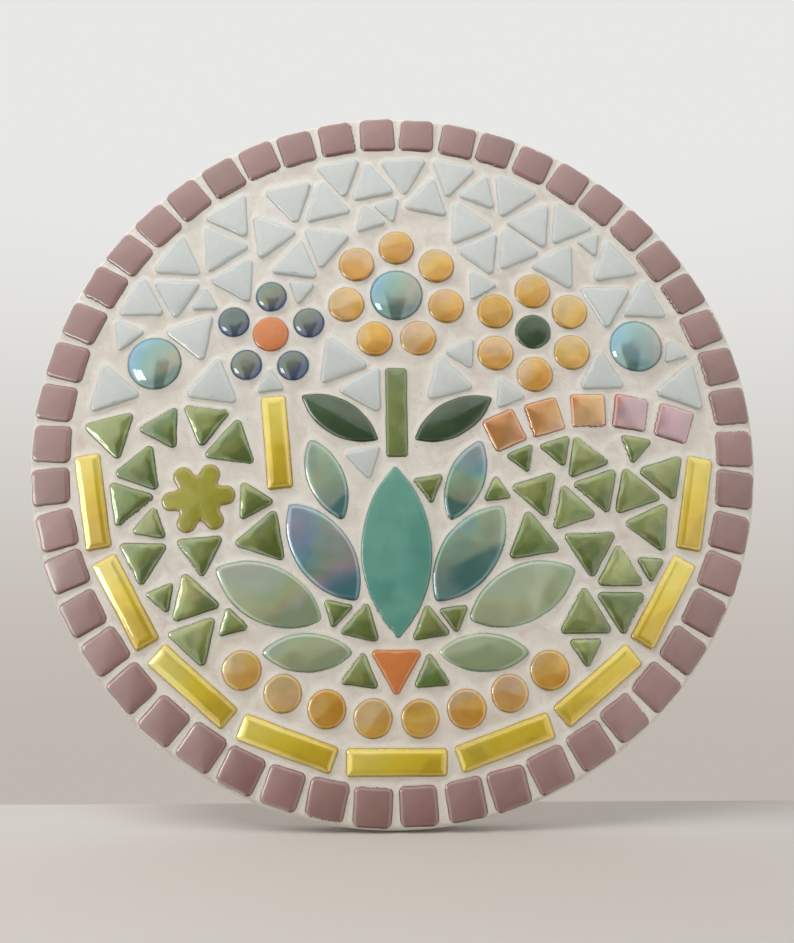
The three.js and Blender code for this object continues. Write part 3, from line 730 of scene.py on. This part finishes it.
# body: colours across a tile, from the start of its sweep to the end; for most glasses the later
# colours are paler, partly the glass's own and partly painted light from the upper left;
# edge: the thin outline, the glass's darker edge, made stronger towards the bottom as painted shade;
# band: a painted highlight, the paler line inside it, its strength and its distance from the edge in mm;
# cloud: strength and scale of clouding; sweep: direction of the colours in the tile's plane;
# stray: how far clouding moves them; own: how far each tile's own shade moves them;
# shade: colour, strength and reach of a painted reflection of the dim room, a darker patch in the
# lower part; film: strength of the rainbow film; rough and metal: of the shader; vary: difference
# between tiles.
Glass = namedtuple("Glass", "body edge band cloud sweep stray own shade film rough metal vary")
WHITE = rgb(255, 255, 255)
BLACK = (0.0, 0.0, 0.0, 1.0)
FILM = [rgb(120, 190, 200), rgb(110, 140, 214), rgb(176, 140, 206), rgb(226, 170, 150), rgb(214, 204, 130),
        rgb(150, 206, 170)]
GLASSES = {
    "mauve_glass": Glass(
        [rgb(136, 102, 96), rgb(148, 114, 108), rgb(160, 128, 123)], rgb(110, 78, 72),
        (rgb(176, 146, 142), 0.2, 1.2), (0.04, 150), (-0.55, 0.6), 0.12, 0.2, None, 0.0, 0.17, 0.0, 0.06),
    "white_glass": Glass(
        [rgb(195, 201, 197), rgb(204, 208, 205)], rgb(184, 190, 186),
        (rgb(212, 216, 214), 0.2, 1.1), (0.04, 300), (-0.5, 0.5), 0.2, 0.1, None, 0.02, 0.12, 0.0, 0.025),
    "green_glass": Glass(
        [rgb(92, 108, 50), rgb(112, 126, 64), rgb(130, 142, 84), rgb(152, 158, 100)], rgb(56, 74, 34),
        (rgb(154, 168, 114), 0.45, 0.9), (0.1, 160), (-0.5, 0.6), 0.4, 0.4,
        (rgb(84, 104, 46), 0.55, -0.2), 0.1, 0.08, 0.12, 0.1),
    "yellow_glass": Glass(
        [rgb(200, 170, 26), rgb(214, 188, 46), rgb(224, 204, 88)], rgb(160, 130, 26),
        (rgb(232, 214, 142), 0.5, 1.3), (0.06, 100), (-0.4, 0.7), 0.3, 0.2,
        (rgb(178, 150, 26), 0.5, -0.35), 0.08, 0.08, 0.12, 0.04),
    "gold_glass": Glass(
        [rgb(198, 144, 34), rgb(206, 156, 50), rgb(208, 166, 84), rgb(202, 168, 120)], rgb(148, 108, 40),
        (rgb(222, 192, 124), 0.5, 1.0), (0.14, 110), (-0.3, 0.5), 0.9, 0.6,
        (rgb(184, 130, 26), 0.55, -0.2), 0.12, 0.1, 0.1, 0.07),
    "orange_glass": Glass(
        [rgb(200, 116, 58), rgb(212, 130, 72)], rgb(168, 88, 44),
        (rgb(222, 148, 96), 0.4, 1.0), (0.05, 260), (-0.5, 0.5), 0.2, 0.0, None, 0.0, 0.15, 0.0, 0.03),
    "dark_green_glass": Glass(
        [rgb(50, 70, 44), rgb(66, 88, 58)], rgb(34, 50, 30),
        (rgb(92, 116, 84), 0.5, 0.9), (0.08, 200), (-0.5, 0.5), 0.3, 0.2, None, 0.0, 0.08, 0.0, 0.04),
    "turquoise_glass": Glass(
        [rgb(88, 148, 132), rgb(104, 160, 144), rgb(118, 170, 154)], rgb(46, 96, 82),
        (rgb(126, 178, 162), 0.3, 0.9), (0.09, 70), (-0.3, 0.6), 0.8, 0.0, None, 0.0, 0.13, 0.0, 0.02),
    "teal_glass": Glass(
        [rgb(92, 132, 120), rgb(114, 148, 134), rgb(144, 168, 148), rgb(156, 168, 140)], rgb(44, 80, 78),
        (rgb(132, 170, 168), 0.25, 1.3), (0.1, 70), (-0.3, 0.8), 0.6, 0.3,
        (rgb(52, 102, 98), 0.8, -0.3), 0.24, 0.06, 0.15, 0.04),
    "blue_glass": Glass(
        [rgb(100, 124, 136), rgb(122, 140, 152), rgb(140, 150, 162), rgb(150, 162, 156)], rgb(54, 80, 96),
        (rgb(130, 164, 178), 0.25, 1.3), (0.1, 70), (-0.3, 0.8), 0.6, 0.1,
        (rgb(60, 116, 112), 0.8, -0.6), 0.3, 0.06, 0.2, 0.04),
    "pale_green_glass": Glass(
        [rgb(142, 158, 118), rgb(158, 170, 136), rgb(170, 180, 150), rgb(180, 186, 160)], rgb(88, 122, 104),
        (rgb(164, 184, 160), 0.25, 1.3), (0.06, 70), (-0.3, 0.8), 0.6, 0.3,
        (rgb(132, 148, 110), 0.7, -0.2), 0.16, 0.06, 0.1, 0.04),
    "copper_glass": Glass(
        [rgb(190, 128, 72), rgb(200, 142, 82), rgb(208, 168, 120), rgb(196, 128, 114), rgb(174, 142, 156)],
        rgb(124, 74, 58), (rgb(220, 186, 156), 0.45, 0.9), (0.1, 120), (0.3, -0.2), 0.25, 1.3,
        None, 0.12, 0.08, 0.2, 0.03),
    "stem_glass": Glass(
        [rgb(106, 122, 62), rgb(120, 134, 76)], rgb(84, 96, 46),
        (rgb(140, 152, 98), 0.4, 0.9), (0.08, 200), (-0.5, 0.5), 0.4, 0.0, None, 0.05, 0.12, 0.0, 0.03),
    "flower_ceramic": Glass(
        [rgb(146, 144, 42), rgb(158, 154, 52)], rgb(150, 104, 52),
        (rgb(164, 136, 66), 0.75, 1.0), (0.08, 150), (-0.5, 0.5), 0.4, 0.0, None, 0.0, 0.16, 0.0, 0.02),
    "gem_glass": Glass(
        [rgb(160, 162, 138), rgb(128, 158, 148), rgb(114, 156, 156), rgb(122, 162, 178)], rgb(44, 76, 70),
        (rgb(134, 172, 168), 0.3, 1.5), (0.08, 70), (-0.8, 0.4), 0.4, 0.1,
        (rgb(70, 122, 118), 0.65, -0.55), 0.2, 0.04, 0.15, 0.03),
    "small_gem_glass": Glass(
        [rgb(70, 92, 112), rgb(94, 106, 98), rgb(104, 114, 98)], rgb(24, 52, 108),
        (rgb(44, 92, 146), 0.7, 0.9), (0.1, 150), (-0.5, 0.7), 0.3, 0.35, None, 0.1, 0.04, 0.12, 0.06),
}
GLASS_IOR = 1.52
RIM_SPAN = 4.0  # mm from a tile's edge that the ramps along its rim cover
PIT_SCALE = 620
PIT_DEPTH = 0.00006  # in metres, as is the next
WAVE_DEPTH = 0.0005
# how soft the edge of the painted reflection is
PAINTED_REFLECTION_SOFTNESS = 0.3
TILE_SHIFT = 37.0  # how far apart two tiles lie in the noise


def swept_colour_and_painted_light(g, look, across, shift, pick):
    """The colours swept across the tile, moved by clouding and by the tile's own shade. For most glasses
    the sweep runs paler towards the upper left: partly the glass's own colours, partly painted light.
    """
    scale = look.cloud[1]
    drift = g.varied(g.noise(scale * 0.4, 2, 0.5, 0.8, shift), -look.stray, look.stray)
    own = g.spread(pick, 0, 1, -look.own, look.own)
    place = g.spread(g.plus(g.plus(across, drift), own), -1, 1)
    last = len(look.body) - 1
    return g.ramp(place, [(0.15 + 0.7 * i / last, colour) for i, colour in enumerate(look.body)])


def with_film(g, look, colour, across, shift):
    """The rainbow film, in bands that wander over the tile and fade here and there."""
    scale = look.cloud[1]
    bands = g.plus(g.noise(scale * 0.35, 2, 0.5, 1.2, shift), g.times(across, 0.3))
    last = len(FILM) - 1
    stops = [(i / last, colour) for i, colour in enumerate(FILM)]
    film = g.ramp(g.calc("FRACT", g.times(bands, 1.6), 0.0), stops, "LINEAR")
    where = g.spread(g.noise(scale * 0.3, 2, 0.5, 0.5, g.plus(shift, 5.0)), 0.35, 0.65, 0.25, 1.0)
    return g.mix(g.times(where, look.film), colour, film)


def with_painted_reflection(g, look, colour, local_x, local_z, shift):
    """A painted reflection of the dim room: a patch of deeper colour in the lower part, with a wavy edge.
    """
    shade, strength, reach = look.shade
    low = g.plus(g.times(local_z, -0.9), g.times(local_x, 0.35))
    wavy = g.varied(g.noise(look.cloud[1] * 0.5, 1, 0.4, 0.5, g.plus(shift, 11.0)), -0.7, 0.7)
    reflection_mask = g.spread(g.plus(low, wavy), -reach, -reach + PAINTED_REFLECTION_SOFTNESS)
    return g.mix(g.times(reflection_mask, strength), colour, shade)


def with_own_tone(g, look, colour, shift, pick):
    """Clouding, and a slight difference of hue and brightness between tiles."""
    strength, scale = look.cloud
    cloud = g.varied(g.noise(scale, 4, 0.6, 0.3, shift), 1 - strength, 1 + strength)
    hue = g.spread(g.value("tint"), -1, 1, 0.5 - look.vary * 0.1, 0.5 + look.vary * 0.1)
    brightness = g.spread(pick, 0, 1, 1 - look.vary, 1 + look.vary)
    return g.shifted(colour, hue, g.times(cloud, brightness))


def with_edge_and_painted_light(g, look, colour, local_z):
    """The thin dark outline: the glass's darker edge, with painted shade that makes it stronger at the
    bottom and fainter at the top; and a painted highlight, the paler line inside it.
    """
    rim = g.plus(g.value("rim"), g.varied(g.noise(500, 2), -0.15, 0.15))
    rim = g.calc("DIVIDE", rim, RIM_SPAN)
    # painted highlight: a paler line inside the outline, where light catches the bevel
    highlight_colour, highlight_strength, highlight_at = look.band
    peak = highlight_at / RIM_SPAN
    band = g.ramp(rim, [(peak * 0.45, BLACK), (peak, WHITE), (peak * 1.5, BLACK)])
    colour = g.mix(g.times(band, highlight_strength), colour, highlight_colour)
    # the outline: the glass's darker edge, with painted shade, stronger at the bottom than at the top
    outline = g.ramp(rim, [(0.02, WHITE), (0.17, (0.25, 0.25, 0.25, 1)), (0.3, BLACK)])
    strength = g.spread(local_z, -1, 1, 1.0, 0.65)
    return g.mix(g.times(outline, strength), colour, look.edge)


def make_glass(name, look):
    """Opaque tile glass: swept and clouded colour, paler towards the upper left partly as painted light, a
    dark outline with painted shade at the bottom, a painted highlight inside it, a painted reflection in
    the lower part, pits.
    """
    g = Finish(name)
    pick = g.value("pick")
    shift = g.times(pick, TILE_SHIFT)
    local_x, local_z = g.value("local_x"), g.value("local_z")
    across = g.plus(g.times(local_x, look.sweep[0]), g.times(local_z, look.sweep[1]))
    colour = swept_colour_and_painted_light(g, look, across, shift, pick)
    if look.film:
        colour = with_film(g, look, colour, across, shift)
    # a painted reflection of the dim room, darker in the lower part of the tile
    if look.shade:
        colour = with_painted_reflection(g, look, colour, local_x, local_z, shift)
    colour = with_own_tone(g, look, colour, shift, pick)
    colour = with_edge_and_painted_light(g, look, colour, local_z)
    roughness = g.varied(g.noise(420, 3), look.rough * 0.7, look.rough * 1.4)
    pitted = g.bump(g.spread(g.cells(PIT_SCALE), 0.03, 0.1), PIT_DEPTH, 0.3)
    wavy = g.bump(g.noise(130, 2, 0.5, 0.4), WAVE_DEPTH, 0.16, pitted)
    g.give(Base_Color=colour, Roughness=roughness, Metallic=look.metal, IOR=GLASS_IOR, Normal=wavy)
    return g.material


def make_grout_finish():
    """Pale sanded grout: warm off-white, sandy and darker in places, with painted shade beside the tiles,
    in its pinholes and towards the bottom.
    """
    g = Finish("grout_finish")
    from_tile = g.value("rim")
    colour = g.mix(g.varied(g.noise(30, 4, 0.6), 0.0, 1.0), rgb(228, 222, 212), rgb(240, 237, 230))
    # painted shade: the grout is warmer and darker towards the bottom of the panel
    height = g.spread(g.value("local_z"), -PANEL_RADIUS, PANEL_RADIUS)
    colour = g.mix(g.spread(height, 0.0, 0.8, 0.4, 0.0), colour, rgb(222, 212, 194))
    open_ground = g.spread(from_tile, 0.9, 2.8)
    smears = g.times(g.spread(g.noise(110, 4, 0.65, 0.8), 0.38, 0.66), open_ground)
    colour = g.mix(g.times(smears, 0.55), colour, rgb(204, 190, 172))
    grains = g.spread(g.noise(2000, 3, 0.7), 0.35, 0.65)
    colour = g.mix(g.times(grains, 0.25), colour, rgb(204, 194, 180))
    # painted shade: a darker line in the grout right beside each tile
    colour = g.mix(g.spread(from_tile, 0.0, 0.45, 0.45, 0.0), colour, rgb(172, 162, 148))
    pits = g.spread(g.cells(380), 0.04, 0.13)
    chosen = g.spread(g.noise(210, 2), 0.5, 0.6)
    holes = g.times(g.calc("SUBTRACT", 1.0, pits), chosen)
    # painted shade darkening the pinholes, which are also pits in the bump below
    colour = g.mix(g.times(holes, 0.65), colour, rgb(140, 130, 116))
    sandy = g.bump(g.noise(1700, 4, 0.7), 0.0003, 0.7)
    pitted = g.bump(holes, -0.0003, 0.6, sandy)
    uneven = g.bump(g.noise(230, 3), 0.0006, 0.6, pitted)
    g.give(Base_Color=colour, Roughness=g.varied(g.noise(300, 3), 0.84, 0.96), Normal=uneven)
    return g.material


def make_board_finish():
    """Painted board: a warm off-white coat with brush marks and rubbed patches."""
    g = Finish("painted_board")
    brushed = g.noise(60, 5, 0.65, 0.3)
    colour = g.mix(g.varied(brushed, 0.0, 1.0), rgb(212, 205, 196), rgb(219, 213, 205))
    rubbed = g.spread(g.noise(35, 5, 0.7), 0.56, 0.68)
    colour = g.mix(g.times(rubbed, 0.2), colour, rgb(196, 184, 168))
    coat = g.bump(g.noise(500, 4, 0.6, 0.8), 0.0002, 0.5)
    g.give(Base_Color=colour, Roughness=g.varied(brushed, 0.5, 0.68), Normal=coat)
    return g.material


# ---------------------------------------------------------------- the panel

def slot_of(node):
    """The name of the material that a CAD node was packed with."""
    return node.data.materials[0].name.split(".")[0]


def dress(mesh, node_name, material):
    """Makes the mesh a piece of the panel, in place of its CAD node."""
    mesh.materials.append(material)
    piece = bpy.data.objects.new(mesh.name, mesh)
    bpy.context.scene.collection.objects.link(piece)
    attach(piece, "root")
    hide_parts(node_name)


def loops_of(node):
    """The outlines of the tiles in a node: one for a single tile, many for a group."""
    levels = {round(-v.co.y / MM, 1) for v in node.data.vertices}
    grouped = BOARD_LEVEL in levels
    return flat_loops(node, FACE_LEVEL, 1) if grouped else flat_loops(node, TILE_FOOT, -1)


def marks_of(name):
    """A tile's own shade: random, but the lustre squares run from orange to violet."""
    tint, pick = rng.uniform(-1, 1), rng.uniform(0, 1)
    if name.startswith("lustre_square"):
        pick = (int(name[-1]) - 1) / 4
    return {"tint": tint, "pick": pick}


def style_for(name, loop, slot):
    """The shape style of a slot's glass; a round tile's CAD outline has eight sides."""
    style = STYLES[slot]
    if name.endswith("disc"):
        return style._replace(shape="round", crown=DISC_CROWN)
    if len(loop) == 3:
        scale = min(1.0, np.linalg.norm(loop[1] - loop[0]) / FULL_TRIANGLE)
        return style._replace(round_off=style.round_off * scale, edge=style.edge * scale)
    return style


def make_tiles():
    """Every tile as a visual piece of its node. Returns all outlines, for the grout."""
    finishes = {}
    outlines = []
    for name in sorted(NODES):
        if name in ("board", "grout"):
            continue
        slot = slot_of(NODES[name])
        if slot not in finishes:
            finishes[slot] = make_glass(slot + "_finish", GLASSES[slot])
        patch = Patch()
        for loop in loops_of(NODES[name]):
            style, marks = style_for(name, loop, slot), marks_of(name)
            if name == "border_squares":
                loop = loop * BORDER_SPREAD
            if style.shape == "dome":
                full = loop.mean(0) + (loop - loop.mean(0)) / GEM_FOOT
                top = -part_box(name)[0].y / MM
                outlines.append(add_gem(patch, full, style, marks, top))
            else:
                outlines.append(add_tile(patch, loop, style, marks))
        dress(patch.mesh(name + "_glass"), name, finishes[slot])
    return outlines


# ---------------------------------------------------------------- floor, light and camera

# Places and sizes are in metres here.
FLOOR_GAP = 0.0005
FLOOR_BACK = 0.04
FLOOR_REACH = 3.0
KEY_PLACE = (-0.38, -0.44, 0.72)
FILL_PLACE = (1.3, -1.2, 0.5)
WINDOW_PANES = [(-0.455, -0.23, -0.06), (-0.4, -0.36, -0.06)]
PANE_SIZE = (0.11, 0.2)
CAMERA_PLACE = (-0.008, -0.3398, -0.069)
CAMERA_AIM = (0.0247, 0.984, 0.176)
LENS = 30.9
SENSOR = 36


def make_floor():
    """A plain pale floor just under the panel. It ends close behind it, as a shelf does."""
    height = cad_box[0].z - FLOOR_GAP
    left, right, front, back = -FLOOR_REACH, FLOOR_REACH, -FLOOR_REACH, FLOOR_BACK
    mesh = bpy.data.meshes.new("floor")
    corners = [(left, front, height), (right, front, height), (right, back, height), (left, back, height)]
    mesh.from_pydata(corners, [], [(0, 1, 2, 3)])
    g = Finish("floor_finish")
    colour = g.mix(g.noise(3, 3), rgb(200, 194, 188), rgb(208, 203, 198))
    g.give(Base_Color=colour, Roughness=0.8, Specular_IOR_Level=0.0)
    mesh.materials.append(g.material)
    floor = bpy.data.objects.new("floor", mesh)
    bpy.context.scene.collection.objects.link(floor)
    floor.visible_glossy = False


def add_light(name, place, size, energy, colour):
    """A rectangular light that faces the panel's middle, unseen by the camera."""
    data = bpy.data.lights.new(name, "AREA")
    data.shape = "RECTANGLE"
    data.size, data.size_y = size
    data.energy = energy
    data.color = colour
    light = bpy.data.objects.new(name, data)
    light.location = place
    light.rotation_euler = (-Vector(place)).to_track_quat("-Z", "Y").to_euler()
    light.visible_camera = False
    bpy.context.scene.collection.objects.link(light)
    return light


def make_lights():
    """A soft key from the upper left and a weak fill, unseen in the glass, and a window to see in it."""
    key = add_light("key", KEY_PLACE, size=(0.6, 0.6), energy=6.0, colour=(1.0, 1.0, 1.0))
    fill = add_light("fill", FILL_PLACE, size=(1.2, 1.2), energy=3.2, colour=(1.0, 0.99, 0.98))
    for light in (key, fill):
        light.visible_glossy = False
    for i, place in enumerate(WINDOW_PANES):
        pane = add_light(f"window_pane_{i + 1}", place, PANE_SIZE, energy=0.9, colour=(0.95, 0.98, 1.0))
        pane.visible_diffuse = False


def eased(g, value, low, high):
    """From 0 to 1, smoothly, as the value goes from low to high."""
    return g.spread(value, low, high, curve="SMOOTHSTEP")


def light_around(g, depth, height):
    """The soft light on the panel: dim from the front, dimmest from below, bright from behind."""
    front = g.mix(eased(g, height, -0.03, 0.1), (0.10, 0.09, 0.08, 1), (0.44, 0.45, 0.46, 1))
    return g.mix(eased(g, depth, -0.2, 0.4), front, (0.78, 0.77, 0.75, 1))


def room_in_glass(g, side, height):
    """What the glass mirrors: bright sides and ceiling, and a dim middle."""
    dim, left = (0.2, 0.19, 0.18, 1), (2.5, 2.5, 2.5, 1)
    right, above = (1.8, 1.8, 1.8, 1), (2.2, 2.2, 2.2, 1)
    room = g.mix(eased(g, side, 0.18, 0.36), dim, right)
    room = g.mix(eased(g, side, -0.34, -0.18), left, room)
    return g.mix(eased(g, height, 0.2, 0.4), room, above)


def make_world():
    """Pale surroundings: a backdrop for the camera, darker towards the bottom as painted shade, and a room
    to mirror in the glass.
    """
    world = bpy.data.worlds.new("studio")
    g = Graph(world)
    split = g.add("ShaderNodeSeparateXYZ")
    g.feed(split.inputs[0], g.coordinates["Generated"])
    side, depth, height = split.outputs
    # painted shade: the backdrop darkens from pale above to a warmer grey below
    backdrop = g.mix(eased(g, height, -0.15, 0.5), rgb(192, 184, 176), rgb(232, 232, 230))
    rays = g.add("ShaderNodeLightPath").outputs
    unseen = g.mix(rays["Is Glossy Ray"], light_around(g, depth, height), room_in_glass(g, side, height))
    background = g.tree.nodes["Background"]
    g.feed(background.inputs["Color"], g.mix(rays["Is Camera Ray"], unseen, backdrop))
    bpy.context.scene.world = world


def make_camera():
    """Level with the panel's lower half, close in and tipped up, at the photograph's angle."""
    data = bpy.data.cameras.new("camera")
    data.lens = LENS
    data.sensor_width = SENSOR
    camera = bpy.data.objects.new("camera", data)
    camera.location = CAMERA_PLACE
    camera.rotation_euler = Vector(CAMERA_AIM).to_track_quat("-Z", "Y").to_euler()
    bpy.context.scene.collection.objects.link(camera)
    bpy.context.scene.camera = camera


tile_outlines = make_tiles()
dress(make_grout(tile_outlines), "grout", make_grout_finish())
dress(make_board(), "board", make_board_finish())
make_floor()
make_world()
make_lights()
make_camera()
bpy.context.scene.view_settings.view_transform = "Standard"
